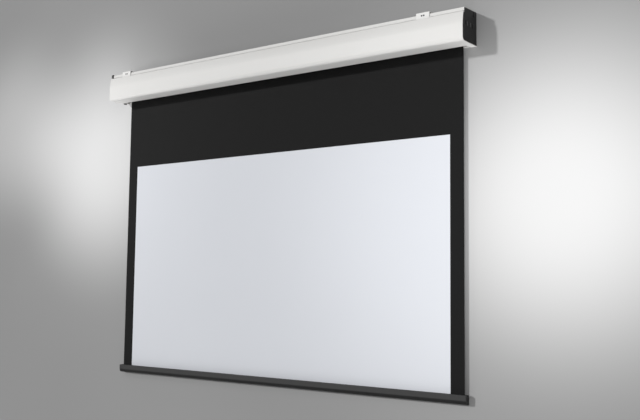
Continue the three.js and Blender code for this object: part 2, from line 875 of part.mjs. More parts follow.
// Flanged bush in the idler bracket.
function idlerBush() {
  const flangeEnd = supportInnerX - seat;
  const flangeStart = flangeEnd - bushFlange;
  const flange = bar(bushFlangeRadius, [flangeStart, flangeEnd], [axisY, axisZ]);
  const sleeve = bar(bushRadius, [flangeStart + bushFlange / 2, supportOuterX], [axisY, axisZ]);
  const bore = bar(pinRadius + seat, [flangeStart - overrun, supportOuterX + overrun], [axisY, axisZ]);
  return named("idler_bush", cut(join(flange, sleeve), bore), greyPlastic);
}

function hexPost(across, [z0, z1], [x, y]) {
  return post(across / 2 / Math.cos(Math.PI / 6), [z0, z1], [x, y], 6);
}

// Cable gland through the cover's end strip and the left cap's floor: hexagon outside, nut inside.
function cableGland() {
  const under = slotLipZ - seat;
  const hex = hexPost(glandHexAcross, [under - glandHexHeight, under], [glandX, glandY]);
  const shank = post(glandShank, [under - glandHexHeight / 2, glandTop], [glandX, glandY]);
  const bore = post(glandBore, [under - glandHexHeight - overrun, glandTop + overrun], [glandX, glandY]);
  return named("cable_gland", cut(join(hex, shank), bore), blackPlastic);
}

function glandNut() {
  const under = capFloorZ + capFloorThickness + seat;
  const hex = hexPost(glandHexAcross, [under, under + glandNutHeight], [glandX, glandY]);
  const bore = post(glandShank + seat, [under - overrun, under + glandNutHeight + overrun], [glandX, glandY]);
  return named("gland_nut", cut(hex, bore), blackPlastic);
}

// The motor's own lead, from the underside of the head to the top of the gland.
function motorLead() {
  const leadX = -(supportInnerX + headInnerX) / 2;
  const start = new THREE.Vector3(leadX, axisY, axisZ - headRadius - seat);
  const end = new THREE.Vector3(glandX, glandY, glandTop + seat);
  const route = new THREE.CubicBezierCurve3(
    start,
    start.clone().setZ(start.z - leadDrop * 2),
    end.clone().setZ(end.z + leadDrop * 2),
    end,
  );
  const ring = new THREE.Shape().absarc(0, 0, leadRadius, 0, Math.PI * 2);
  const sides = 3;
  const lead = new THREE.ExtrudeGeometry(ring, {
    steps: curveSteps * 2,
    curveSegments: sides * 4,
    bevelEnabled: false,
    extrudePath: route,
  });
  return named("motor_lead", lead, blackPlastic);
}

// Panels of the screen cloth. The white one and the borders end in the bottom bar's slot.
function clothPanels() {
  const depth = [clothFront, clothBack];
  const half = viewWidth / 2;
  const borderSpan = [viewTop, clothBottom];
  return {
    drop: named(
      "screen_black_drop",
      block([-clothHalf, clothHalf], depth, [viewTop + seat, axisZ]),
      blackCloth,
    ),
    moving: [
      named("screen_white", block([-half, half], depth, borderSpan), whiteCloth),
      named("screen_border_left", block([-clothHalf, -half - seat], depth, borderSpan), blackCloth),
      named("screen_border_right", block([half + seat, clothHalf], depth, borderSpan), blackCloth),
    ],
  };
}

// The bottom bar seen from its end: flat face, rounded nose under it, flat back.
function barOutline() {
  const nose = new THREE.EllipseCurve(
    barFrontY + barNoseDepth,
    barTop - barFaceHeight,
    barNoseDepth,
    barHeight - barFaceHeight,
    Math.PI,
    Math.PI * 1.5,
  );
  return [
    [barFrontY + barEdge, barTop],
    [barFrontY, barTop - barEdge],
    ...sampled(nose),
    [barRearY - barEdge, barBottom],
    [barRearY, barBottom + barEdge],
    [barRearY, barTop - barEdge],
    [barRearY - barEdge, barTop],
  ];
}

function bottomBar() {
  const span = [-barProfileEnd, barProfileEnd];
  const past = [-barProfileEnd - overrun, barProfileEnd + overrun];
  const slot = block(past, [clothY - barSlot / 2, clothY + barSlot / 2], [hemZ, barTop + overrun]);
  const hem = block(past, [clothY - hemHalf, clothY + hemHalf], [hemZ - hemHalf, hemZ + hemHalf]);
  const chamber = block(
    past,
    [chamberFrontY, chamberFrontY + barChamberWidth],
    [chamberTop - barChamberHeight, chamberTop],
  );
  const weightBore = bar(weightRadius + seat, past, [weightY, weightZ], smallRoundSides);
  return named("bottom_bar", cut(slab(barOutline(), span), slot, hem, chamber, weightBore), greyBar);
}

// Moulded end of the bar, with a peg in the bar's front chamber.
function barCap(side) {
  const plate = slab(barOutline(), [side * (barEnd - barCapThickness), side * barEnd]);
  const peg = block(
    [side * (barProfileEnd - barPegLength), side * (barEnd - barCapThickness / 2)],
    [chamberFrontY + seat, chamberFrontY + barChamberWidth - seat],
    [chamberTop - barChamberHeight + seat, chamberTop - seat],
  );
  return named(side < 0 ? "bar_cap_left" : "bar_cap_right", join(plate, peg), blackPlastic);
}

function hemRod() {
  const rod = bar(hemRodRadius, [-clothHalf, clothHalf], [clothY, hemZ], smallRoundSides);
  return named("hem_rod", rod, greyPlastic);
}

function barWeight() {
  const end = barProfileEnd - weightEndGap;
  return named("bar_weight", bar(weightRadius, [-end, end], [weightY, weightZ], smallRoundSides), zincSteel);
}

// Wall bracket: a lip in the case's groove, a skirt in front of the band, a plate over the rail
// and an upstand against the wall. It is drawn about X = 0 and placed by its group.
function bracketPlate(word) {
  const half = bracketWidth / 2;
  const line = [
    [bandY + bracketLipDepth, lipZ],
    [skirtY, lipZ],
    [skirtY, bracketPlateZ],
    [upstandY, bracketPlateZ],
    [upstandY, upstandTop],
  ];
  const sheet = slab(sheetOutline(line, -bracketSheet / 2, bracketSheet / 2), [-half, half]);
  const wallHoleZ = bracketPlateTop + upstandHeight / 2;
  const wallHoles = [-1, 1].map((side) => {
    const place = [(side * wallHoleSpacing) / 2, wallHoleZ];
    return peg(wallHoleRadius, [-bracketSheet - overrun, overrun], place);
  });
  const skirtDepth = [skirtY - bracketSheet, skirtY + bracketSheet];
  const setHoles = setScrewPlaces().map((place) => peg(setScrewRadius + seat, skirtDepth, place));
  const clampHole = post(
    clampScrewShank + seat,
    [bracketPlateZ - bracketSheet, bracketPlateZ + bracketSheet],
    [0, railMiddleY],
  );
  return named(`bracket_${word}`, cut(sheet, ...wallHoles, ...setHoles, clampHole), whiteCase);
}

function setScrewPlaces() {
  const z = caseTop - setScrewBelowTop;
  return [-1, 1].map((side) => [(side * setScrewSpacing) / 2, z]);
}

// Grub screws that press the bracket's skirt against the band.
function setScrews(word) {
  const front = skirtY - bracketSheet / 2 - setScrewProud;
  return setScrewPlaces().map((place, i) => {
    const shape = peg(setScrewRadius, [front, bandY - seat], place);
    return named(`bracket_${word}_set_screw_${i + 1}`, shape, blackScrew);
  });
}

function clampScrew(word) {
  const length = bracketPlateTop + seat - railNutBottom;
  const shape = screwGeometry(clampScrewHead, clampScrewHeadHeight, clampScrewShank, length);
  const screw = named(`bracket_${word}_clamp_screw`, shape, zincSteel);
  screw.position.set(0, railMiddleY, bracketPlateTop + seat);
  return screw;
}

// Nut plate that slides in the rail.
function railNut(word) {
  const half = railNutLength / 2;
  const plate = block(
    [-half, half],
    [railFrontY + railWall + railNutGap, railRearY - railWall - railNutGap],
    [railNutBottom, railNutTop],
  );
  const hole = post(
    clampScrewShank + seat,
    [railNutBottom - overrun, railNutTop + overrun],
    [0, railMiddleY],
  );
  return named(`bracket_${word}_rail_nut`, cut(plate, hole), zincSteel);
}

function wallBracket(word) {
  const group = new THREE.Group();
  group.add(bracketPlate(word), ...setScrews(word), clampScrew(word), railNut(word));
  group.position.x = bracketPlaces[word];
  return group;
}

const cloth = clothPanels();

const caseGroup = new THREE.Group();
caseGroup.add(
  rearHousing(),
  frontCover(),
  endCap(-1),
  endCap(1),
  ...capScrews(-1),
  ...capScrews(1),
  bandClip(),
  motorBracket(),
  idlerBracket(),
  ...supportScrews(),
  motorHead(),
  motorClip(),
  motorTube(),
  cableGland(),
  glandNut(),
  motorLead(),
  idlerBush(),
  ...limitScrews(),
  cloth.drop,
);

const rollerGroup = new THREE.Group();
rollerGroup.add(
  rollerTube(),
  fabricSpline(),
  fabricRoll(),
  crownRing(),
  outputShaft(),
  driveWheel(),
  idlerPlug(),
  idlerPin(),
  idlerCirclip(),
);

const barGroup = new THREE.Group();
barGroup.add(bottomBar(), barCap(-1), barCap(1), hemRod(), barWeight(), ...cloth.moving);

const screenUnit = new THREE.Group();
screenUnit.add(caseGroup, rollerGroup, barGroup, wallBracket("left"), wallBracket("right"));

export default screenUnit;
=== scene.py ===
# %% [markdown]
# # A motorized projector screen
# The object is a white metal case on a wall, with a motor and a roller inside, a black and white
# cloth that hangs from the roller, and a weighted bar that keeps the cloth flat.
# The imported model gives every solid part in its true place, so this scene adds what a solid model
# lacks: rounded edges, cloth, detailed fasteners and finishes. Everything is in metres.

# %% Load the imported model
import json
import math

import bmesh
import bpy
from mathutils import Matrix, Vector


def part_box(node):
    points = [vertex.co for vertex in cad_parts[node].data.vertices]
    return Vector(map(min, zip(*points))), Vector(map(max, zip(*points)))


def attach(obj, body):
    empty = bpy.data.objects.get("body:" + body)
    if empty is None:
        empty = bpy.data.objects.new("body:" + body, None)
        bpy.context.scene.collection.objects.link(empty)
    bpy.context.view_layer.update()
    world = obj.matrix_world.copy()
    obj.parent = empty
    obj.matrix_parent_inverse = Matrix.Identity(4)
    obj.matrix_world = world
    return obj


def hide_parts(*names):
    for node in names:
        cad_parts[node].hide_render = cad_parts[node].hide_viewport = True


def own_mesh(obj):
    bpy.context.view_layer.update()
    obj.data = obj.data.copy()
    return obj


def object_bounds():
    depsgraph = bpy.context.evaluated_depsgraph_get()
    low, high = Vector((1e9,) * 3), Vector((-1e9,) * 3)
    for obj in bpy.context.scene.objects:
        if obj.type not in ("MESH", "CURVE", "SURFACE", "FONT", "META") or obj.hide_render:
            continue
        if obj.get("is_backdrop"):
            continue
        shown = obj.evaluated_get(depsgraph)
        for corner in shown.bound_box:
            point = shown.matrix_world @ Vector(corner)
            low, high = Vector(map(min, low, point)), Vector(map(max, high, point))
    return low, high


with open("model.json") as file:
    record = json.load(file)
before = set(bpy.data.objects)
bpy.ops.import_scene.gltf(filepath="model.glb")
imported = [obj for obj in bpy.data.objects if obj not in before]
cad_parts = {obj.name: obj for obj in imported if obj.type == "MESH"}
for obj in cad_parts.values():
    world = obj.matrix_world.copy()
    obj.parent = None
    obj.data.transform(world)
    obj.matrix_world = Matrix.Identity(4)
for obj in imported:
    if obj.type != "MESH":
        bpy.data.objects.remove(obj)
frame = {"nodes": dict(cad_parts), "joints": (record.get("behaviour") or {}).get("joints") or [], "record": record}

cad_low, cad_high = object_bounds()
MM = 0.001
print("packed nodes:", len(frame["nodes"]), "size:", [round(v, 4) for v in cad_high - cad_low])

# %% [markdown]
# ## The camera
# A camera is a place, a direction and a focal length. The photograph was taken from the right and
# a little below the middle of the screen, and the camera looks slightly up. The direction is
# written as an azimuth, a pitch and a roll, and the three axes of the camera follow from them.
# Writing the axes into the matrix is exact, where a Track To constraint would lose the roll.

# %% Place the camera
CAMERA_PLACE = Vector((2.4851, -3.0738, -1.0148))
CAMERA_ANGLES = (35.95, 5.06, 0.65)
CAMERA_LENS = 48.92
CAMERA_SENSOR = 36
azimuth, pitch, roll = (math.radians(angle) for angle in CAMERA_ANGLES)
level = Vector((-math.sin(azimuth), math.cos(azimuth), 0))
forward = level * math.cos(pitch) + Vector((0, 0, math.sin(pitch)))
right = Vector((math.cos(azimuth), math.sin(azimuth), 0))
upward = right.cross(forward)
camera_x = right * math.cos(roll) + upward * math.sin(roll)
camera_y = upward * math.cos(roll) - right * math.sin(roll)
camera_data = bpy.data.cameras.new("camera")
camera_data.sensor_width = CAMERA_SENSOR
camera_data.lens = CAMERA_LENS
camera = bpy.data.objects.new("camera", camera_data)
turn = Matrix((camera_x, camera_y, -forward)).transposed().to_4x4()
camera.matrix_world = Matrix.Translation(CAMERA_PLACE) @ turn
bpy.context.scene.collection.objects.link(camera)
bpy.context.scene.camera = camera
print("camera at", [round(v, 3) for v in camera.location], "lens", camera_data.lens)

# %% [markdown]
# ## Shader maths as Python
# A finish is a small graph of nodes. Writing each Math node by hand is long, so a class wraps one
# socket and lets Python's own operators add the Math nodes. Every other node comes from one method,
# which sets the node's settings first and then its sockets, because some settings change which
# sockets a node has.

# %% A socket that understands arithmetic
class Wire:
    """One output socket of a node graph. Its operators add Math nodes to the graph."""

    def __init__(self, tree, socket=None):
        self.tree = tree
        self.socket = socket

    def add(self, kind, settings=None, sockets=None, out=0):
        """Adds a node with its settings and its sockets, and gives a wire from one output."""
        node = self.tree.nodes.new(kind)
        for key, value in (settings or {}).items():
            setattr(node, key, value)
        for key, value in (sockets or {}).items():
            if isinstance(value, Wire):
                self.tree.links.new(value.socket, node.inputs[key])
            else:
                node.inputs[key].default_value = value
        return Wire(self.tree, node.outputs[out] if node.outputs else None)

    def maths(self, operation, first, second):
        """Adds a Math node."""
        return self.add("ShaderNodeMath", {"operation": operation}, {0: first, 1: second})

    def __add__(self, other):
        return self.maths("ADD", self, other)

    def __sub__(self, other):
        return self.maths("SUBTRACT", self, other)

    def __mul__(self, other):
        return self.maths("MULTIPLY", self, other)

    def __rsub__(self, other):
        return self.maths("SUBTRACT", other, self)

    __radd__ = __add__


print("a wire can be added, subtracted and multiplied")

# %% Start a finish and close it
def new_finish(name):
    """A material with an empty graph, and a wire that carries the Object coordinates."""
    material = bpy.data.materials.new(name)
    material.use_nodes = True
    material.node_tree.nodes.clear()
    start = Wire(material.node_tree)
    return material, start.add("ShaderNodeTexCoord", out="Object")


def noise(place, scale, detail=2.0, roughness=0.5, stretch=(1, 1, 1)):
    """Noise from 0 to 1, drawn out along an axis where stretch is under 1."""
    mapped = place.add("ShaderNodeMapping", {}, {"Vector": place, "Scale": stretch})
    settings = {"noise_dimensions": "3D"}
    sockets = {"Vector": mapped, "Scale": scale, "Detail": detail, "Roughness": roughness}
    return place.add("ShaderNodeTexNoise", settings, sockets)


def ramp(height, low, high):
    """Goes from 0 to 1 while the height goes from low to high."""
    sockets = {"Value": height, "From Min": low, "From Max": high}
    return height.add("ShaderNodeMapRange", {}, sockets)


def part_of(place, axis):
    """One coordinate of a place."""
    return place.add("ShaderNodeSeparateXYZ", {}, {"Vector": place}, out=axis)


def blend_colours(share, first, second):
    """Mixes two plain colours, or wires of colour, by a share from 0 to 1."""
    settings = {"data_type": "RGBA"}
    sockets = {0: share, 6: first, 7: second}
    return share.add("ShaderNodeMix", settings, sockets, out=2)


def close_finish(material, colour, roughness, height, depth, metallic=0.0, **constants):
    """Adds the surface shader and its bump, and links them to the output."""
    start = Wire(material.node_tree)
    normal = start.add("ShaderNodeBump", {}, {"Height": height, "Distance": depth, "Strength": 1.0})
    sockets = {"Base Color": colour, "Roughness": roughness, "Metallic": metallic, "Normal": normal}
    sockets.update(constants)
    surface = start.add("ShaderNodeBsdfPrincipled", {}, sockets)
    start.add("ShaderNodeOutputMaterial", {}, {"Surface": surface})
    return material


print("finish helpers: new_finish, noise, ramp, part_of, blend_colours, close_finish")

# %% [markdown]
# ## Powder coat, on the case, the brackets and the bar
# The real case is painted with powder that melts into a skin with a faint orange-peel surface.
# A flat colour would look like paper. Three scales of noise do it: one of about 2 mm for the peel,
# which moves the normal and the roughness, one of about 2 cm for specks, and one of about 30 cm for
# the slight change of shade along a case.
# The lower part of the bar's face is nearly black, so its coat changes colour at one height, over a
# step of one millimetre.

# %% Make the powder coats
def shade(value, warmth=0.0):
    """A plain grey as a colour, a little warmer or cooler."""
    return (value * (1 + warmth), value, value * (1 - warmth * 2.5), 1)


def powder_coat(name, colour, darker, gloss, peel, strip=None):
    """Powder coat. Strip gives a height, and the colour of the part below that height."""
    material, place = new_finish(name)
    clouds = noise(place, 3.0, detail=3.0)
    grain = noise(place, 430.0, detail=3.0)
    specks = noise(place, 60.0, detail=4.0, roughness=0.65)
    share = clouds * 0.65 + specks * 0.35
    roughness = grain * 0.08 + (gloss - 0.02) + specks * 0.06
    tint = blend_colours(share, colour, darker)
    if strip:
        strip_height, strip_colour = strip
        above = ramp(part_of(place, "Z"), strip_height - STEP / 2, strip_height + STEP / 2)
        tint = blend_colours(above, strip_colour, tint)
    return close_finish(material, tint, roughness, grain, peel, **{"Specular IOR Level": 0.32})


STEP = 1 * MM
BAR_FACE = 21 * MM
CASE_PEEL = 0.05 * MM
FINE_PEEL = 0.06 * MM
bar_strip = (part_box("bottom_bar")[1].z - BAR_FACE, shade(0.006))
case_white = (shade(0.645, 0.006), shade(0.615, 0.012))
bracket_white = (shade(0.70, 0.004), shade(0.67, 0.01))
bar_grey = (shade(0.029), shade(0.025))
finishes = {
    "white_case": powder_coat("white_powder_coat", *case_white, 0.42, CASE_PEEL),
    "white_steel": powder_coat("white_bracket_coat", *bracket_white, 0.44, FINE_PEEL),
    "grey_bar": powder_coat("dark_bar_coat", *bar_grey, 0.42, FINE_PEEL, bar_strip),
}
print("powder coats:", list(finishes))

# %% [markdown]
# ## Moulded plastic, on the end caps and the gland
# The end caps come from a tool with an eroded surface, so they are evenly grained and dull. A fine
# noise gives the grain, and a wider one makes handled patches a little smoother. What stands out
# from a cap is painted paler, as a painted highlight, and is also smoother; what is sunk in it is
# painted dark, as painted shade. The distance from the middle of the screen tells the two apart.

# %% Make the plastics
def moulded_plastic(name, colour, worn, gloss, relief_shading=None):
    """Grained plastic. The last argument gives the face's distance along X, the painted shade for what is sunk and
    the painted highlight for what is raised.
    """
    material, place = new_finish(name)
    grain = noise(place, 1500.0, detail=2.0)
    patches = noise(place, 22.0, detail=4.0, roughness=0.6)
    tint = blend_colours(patches * 0.7 + grain * 0.3, colour, worn)
    roughness = (1 - patches) * 0.14 + (gloss - 0.07)
    if relief_shading:
        face, sunk_shade, raised_highlight = relief_shading
        height = place.maths("ABSOLUTE", part_of(place, "X"), 0.0) - face
        flush = ramp(height, *SUNK_TO_FLUSH)
        raised = ramp(height, *FLUSH_TO_RAISED)
        # Sunk faces get a painted shade, and raised faces a painted highlight.
        tint = blend_colours(raised, blend_colours(flush, sunk_shade, tint), raised_highlight)
        roughness = roughness - raised * 0.12
    return close_finish(material, tint, roughness, grain, FINE_PEEL, **{"Specular IOR Level": 0.3})


SUNK_TO_FLUSH = (-1.2 * MM, -0.4 * MM)
FLUSH_TO_RAISED = (0.2 * MM, 0.8 * MM)
CAP_RECESS = 1 * MM
black = (shade(0.010), shade(0.016))
grey = (shade(0.11, -0.01), shade(0.14))
# The caps' painted shade for sunk faces and painted highlight for raised ribs.
cap_shade_and_highlight = (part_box("front_cover")[1].x - CAP_RECESS, shade(0.002), shade(0.10))
finishes["black_plastic"] = moulded_plastic("black_moulded_plastic", *black, 0.5)
cap_plastic = moulded_plastic("end_cap_plastic", *black, 0.5, cap_shade_and_highlight)
finishes["grey_plastic"] = moulded_plastic("grey_moulded_plastic", *grey, 0.55)
print("plastics: black, grey and the caps' own black")

# %% [markdown]
# ## Bare and plated metal
# Zinc plate is grey with faint warm and blue clouds. Extruded aluminium has long fine lines from
# the die, which run along the part, so its noise is drawn out a hundred times along X. The motor's
# tube is drawn steel with the same lines, but darker and smoother.

# %% Make the metals
def plated_steel(name, warm, cool, gloss):
    """Steel with a thin plate, clouded and finely scratched across its length."""
    material, place = new_finish(name)
    clouds = noise(place, 45.0, detail=3.0)
    scratches = noise(place, 900.0, detail=2.0, stretch=(1, 0.12, 0.12))
    tint = blend_colours(clouds, warm, cool)
    roughness = scratches * 0.16 + (gloss - 0.08)
    return close_finish(material, tint, roughness, scratches, 0.02 * MM, metallic=1.0)


def drawn_metal(name, light, dark, gloss):
    """Metal with long lines along X."""
    material, place = new_finish(name)
    lines = noise(place, 700.0, detail=3.0, stretch=(0.01, 1, 1))
    patches = noise(place, 14.0, detail=3.0)
    tint = blend_colours(lines * 0.5 + patches * 0.5, light, dark)
    roughness = patches * 0.12 + lines * 0.12 + (gloss - 0.12)
    return close_finish(material, tint, roughness, lines, 0.015 * MM, metallic=1.0)


zinc_clouds = ((0.66, 0.65, 0.60, 1), (0.56, 0.60, 0.65, 1))
finishes["zinc_steel"] = plated_steel("zinc_plate", *zinc_clouds, 0.34)
finishes["black_steel"] = plated_steel("black_oxide_steel", shade(0.05), shade(0.03, -0.02), 0.42)
finishes["mill_aluminium"] = drawn_metal("extruded_aluminium", shade(0.78), shade(0.66, -0.01), 0.38)
finishes["motor_steel"] = drawn_metal("drawn_steel", shade(0.42), shade(0.34, -0.01), 0.32)
print("metals: zinc, black oxide, extruded aluminium, drawn steel")

# %% [markdown]
# ## Screen cloth
# The cloth is woven glass fibre with a matt coating: white where the picture falls, black on the
# drop and the borders. Its threads are half a millimetre apart, finer than any picture of the whole
# screen can show, and a strict grid that fine would shimmer. Two noises, one drawn out along the
# width and one along the height, give threads of uneven thickness without a strict grid.

# %% Make the two cloths
def coated_cloth(name, colour, second, gloss):
    """Woven cloth under a matt coat, with a second shade in its clouds and threads."""
    material, place = new_finish(name)
    weft = noise(place, 1300.0, detail=1.0, stretch=(0.08, 1, 1))
    warp = noise(place, 1300.0, detail=1.0, stretch=(1, 1, 0.08))
    coat = noise(place, 5.0, detail=4.0, roughness=0.55)
    tint = blend_colours(coat * 0.6 + weft * 0.2 + warp * 0.2, colour, second)
    roughness = coat * 0.05 + (gloss - 0.02)
    constants = {"Specular IOR Level": 0.15}
    return close_finish(material, tint, roughness, weft + warp, CASE_PEEL, **constants)


cool_white = ((0.65, 0.667, 0.705, 1), (0.632, 0.65, 0.69, 1))
deep_black = (shade(0.0045), shade(0.0075))
finishes["white_cloth"] = coated_cloth("white_screen_cloth", *cool_white, 0.72)
finishes["black_cloth"] = coated_cloth("black_screen_cloth", *deep_black, 0.75)
print("cloths: white and black; finishes in all:", len(finishes))

# %% [markdown]
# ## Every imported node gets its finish
# The record names a material slot for each node. Most nodes are replaced by more detailed pieces
# further down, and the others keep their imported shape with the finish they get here.

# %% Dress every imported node
slot_of = {part["node"]: part["material_slot"] for part in frame["record"]["subparts"]}
for node_name, node_object in frame["nodes"].items():
    if not node_object.material_slots:
        node_object.data.materials.append(None)
    for material_slot in node_object.material_slots:
        material_slot.material = finishes[slot_of[node_name]]
print("nodes dressed:", len(slot_of))

# %% [markdown]
# ## Rounded copies of the folded, extruded and moulded parts
# A solid model has perfectly sharp edges, and no real edge is. Light catches on the small round of
# a fold or a moulding, and that thin line is what makes a render look solid. The shape of these
# parts is already right, so the scene takes a copy of the node's mesh, merges its loose triangles,
# joins flat neighbours, and bevels every edge that really turns. The copy then replaces the node.

# %% A helper that rounds a part's edges
MERGE_DISTANCE = 0.01 * MM
FLAT_ANGLE = math.radians(1)
BEVEL_ANGLE = math.radians(28)
SMOOTH_ANGLE = math.radians(40)


def body_of_node(node):
    """The name of the moving body that a node belongs to."""
    groups = frame["record"]["behaviour"]["bodies"]
    return next(body for body, nodes in groups.items() if node in nodes)


def place_piece(name, mesh, finish, body, nodes=()):
    """Turns a bmesh into an object with a finish, on its body, in place of its nodes."""
    bmesh.ops.recalc_face_normals(mesh, faces=mesh.faces)
    data = bpy.data.meshes.new(name)
    mesh.to_mesh(data)
    mesh.free()
    data.shade_smooth()
    data.set_sharp_from_angle(angle=SMOOTH_ANGLE)
    piece = bpy.data.objects.new(name, data)
    bpy.context.scene.collection.objects.link(piece)
    data.materials.append(finishes[finish])
    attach(piece, body)
    if nodes:
        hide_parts(*nodes)
    return piece


def rounded_copy(node, radius):
    """Replaces a node by a copy of its mesh with rounded edges."""
    mesh = bmesh.new()
    mesh.from_mesh(frame["nodes"][node].data)
    bmesh.ops.remove_doubles(mesh, verts=mesh.verts, dist=MERGE_DISTANCE)
    bmesh.ops.dissolve_limit(mesh, angle_limit=FLAT_ANGLE, verts=mesh.verts, edges=mesh.edges)
    closed = [edge for edge in mesh.edges if edge.is_manifold]
    turning = [edge for edge in closed if edge.calc_face_angle() > BEVEL_ANGLE]
    bmesh.ops.bevel(
        mesh, geom=turning, offset=radius, affect="EDGES", segments=3, profile=0.5, material=-1
    )
    piece = place_piece(node + "_rounded", mesh, slot_of[node], body_of_node(node), [node])
    weighted = piece.modifiers.new("weighted normals", "WEIGHTED_NORMAL")
    weighted.keep_sharp = True
    return piece


print("helpers: place_piece, rounded_copy")

# %% Round the case, the caps, the brackets and the bar, by radii in millimetres
edge_radii = {
    "rear_housing": 0.5,
    "front_cover": 0.5,
    "end_cap_left": 0.45,
    "end_cap_right": 0.45,
    "bracket_left": 0.6,
    "bracket_right": 0.6,
    "bottom_bar": 0.35,
    "bar_cap_left": 0.5,
    "bar_cap_right": 0.5,
    "motor_bracket": 0.4,
    "idler_bracket": 0.4,
    "motor_head": 0.6,
    "cable_gland": 0.4,
    "gland_nut": 0.4,
    "band_clip_left": 0.3,
    "motor_clip": 0.2,
    "roller_tube": 0.3,
    "bracket_left_rail_nut": 0.3,
    "bracket_right_rail_nut": 0.3,
    "idler_bush": 0.25,
    "crown_ring": 0.3,
    "idler_plug": 0.3,
}
for node, radius in edge_radii.items():
    copy = rounded_copy(node, radius * MM)
    if node.startswith("end_cap"):
        copy.data.materials[0] = cap_plastic
    print(copy.name, len(copy.data.polygons), "faces")

# %% [markdown]
# ## The cloth
# On the real screen one sheet of cloth runs from the roller to the bottom bar, and side by side
# it is black, white and black. The scene makes it as panels that meet edge to edge, so that each
# has its own finish. A panel is a grid of faces that solidify turns into a closed sheet half
# a millimetre thick. The bar's weight stretches the cloth, so it hangs flat, and only its free
# side edges wander by a fifth of a millimetre, as real ones do.

# %% Make the four cloth panels
CLOTH_Y = -16 * MM
CLOTH_THICKNESS = 0.5 * MM
ROLLER_Z = 6 * MM
VIEW_TOP = (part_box("screen_white")[1].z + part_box("screen_black_drop")[0].z) / 2
CLOTH_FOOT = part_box("screen_white")[0].z
CLOTH_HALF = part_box("screen_black_drop")[1].x
VIEW_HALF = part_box("screen_white")[1].x
WANDER = 0.2 * MM
WANDER_START = CLOTH_HALF - 100 * MM
WANDER_WIDTH = 100 * MM
WANDER_WAVES = 14
DROP_GRID = (48, 20)
PICTURE_GRID = (48, 40)
BORDER_GRID = (6, 40)


def cloth_panel(name, finish, body, across, height, grid, node):
    """A closed thin sheet between two X and two Z values. Grid gives its columns and rows."""
    (left, right_edge), (foot, top), (columns, rows) = across, height, grid
    mesh = bmesh.new()
    bmesh.ops.create_grid(mesh, x_segments=columns, y_segments=rows, size=0.5)
    bmesh.ops.rotate(mesh, verts=mesh.verts, matrix=Matrix.Rotation(math.pi / 2, 3, "X"))
    centre = ((left + right_edge) / 2, CLOTH_Y, (foot + top) / 2)
    bmesh.ops.scale(mesh, verts=mesh.verts, vec=(right_edge - left, 1, top - foot))
    bmesh.ops.translate(mesh, verts=mesh.verts, vec=centre)
    for vert in mesh.verts:
        near_edge = max(0.0, (abs(vert.co.x) - WANDER_START) / WANDER_WIDTH)
        vert.co.y += WANDER * near_edge * math.sin(vert.co.z * WANDER_WAVES)
    bmesh.ops.solidify(mesh, geom=mesh.faces[:], thickness=CLOTH_THICKNESS)
    middle = sum((vert.co.y for vert in mesh.verts), 0.0) / len(mesh.verts)
    bmesh.ops.translate(mesh, verts=mesh.verts, vec=(0, CLOTH_Y - middle, 0))
    return place_piece(name, mesh, finish, body, [node])


upper = (VIEW_TOP, ROLLER_Z)
lower = (CLOTH_FOOT, VIEW_TOP)
whole = (-CLOTH_HALF, CLOTH_HALF)
view = (-VIEW_HALF, VIEW_HALF)
left_side = (-CLOTH_HALF, -VIEW_HALF)
right_side = (VIEW_HALF, CLOTH_HALF)
drop = cloth_panel(
    "black_drop_cloth", "black_cloth", "case", whole, upper, DROP_GRID, "screen_black_drop"
)
picture = cloth_panel(
    "white_picture_cloth", "white_cloth", "bar", view, lower, PICTURE_GRID, "screen_white"
)
left_border = cloth_panel(
    "left_border_cloth", "black_cloth", "bar", left_side, lower, BORDER_GRID, "screen_border_left"
)
right_border = cloth_panel(
    "right_border_cloth", "black_cloth", "bar", right_side, lower, BORDER_GRID, "screen_border_right"
)
print("panels:", [piece.name for piece in (drop, picture, left_border, right_border)])

# %% [markdown]
# ## How much cloth is left at the top
# The bar slides up and the roller takes the cloth in. A piece can't wind itself onto a roller here,
# so the cell below works out the share of each panel that is left when the bar is at the top: of
# the drop next to the roller, and of the picture and its borders next to the bar. The two shares
# are chosen so that there the picture ends a fifth of a millimetre below the drop. At the top
# everything that is left lies inside the case, as it does on the real screen. Each panel also gets
# a mesh of its own.

# %% Work out the share of each panel kept at the top
travel = next(joint for joint in frame["joints"] if joint["name"] == "screen_travel")["range_m"][1]
bar_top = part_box("bottom_bar")[1].z
drop_length = ROLLER_Z - VIEW_TOP
picture_length = VIEW_TOP - bar_top
drop_keep = 0.02
ROOM_AT_TOP = 0.2 * MM
drop_foot_at_top = ROLLER_Z - drop_length * drop_keep
picture_keep = (drop_foot_at_top - ROOM_AT_TOP - (bar_top + travel)) / picture_length
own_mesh(drop)
for panel in (picture, left_border, right_border):
    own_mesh(panel)
print("kept at the top: drop", drop_keep, "picture", round(picture_keep, 4))

picture_height = VIEW_TOP - CLOTH_FOOT
print("cloth height below the drop:", round(picture_height, 4))

# %% [markdown]
# ## The turns on the roller
# Two turns of black cloth stay on the tube, so that the picture's weight never pulls on the edge
# that is wedged in the tube's slot. Spinning one long edge about the roller's axis makes a tube of
# faces. Moving each ring of it inwards, a little more the further it is from the cloth's last
# point of contact, makes the spiral, and solidify gives it the cloth's thickness.

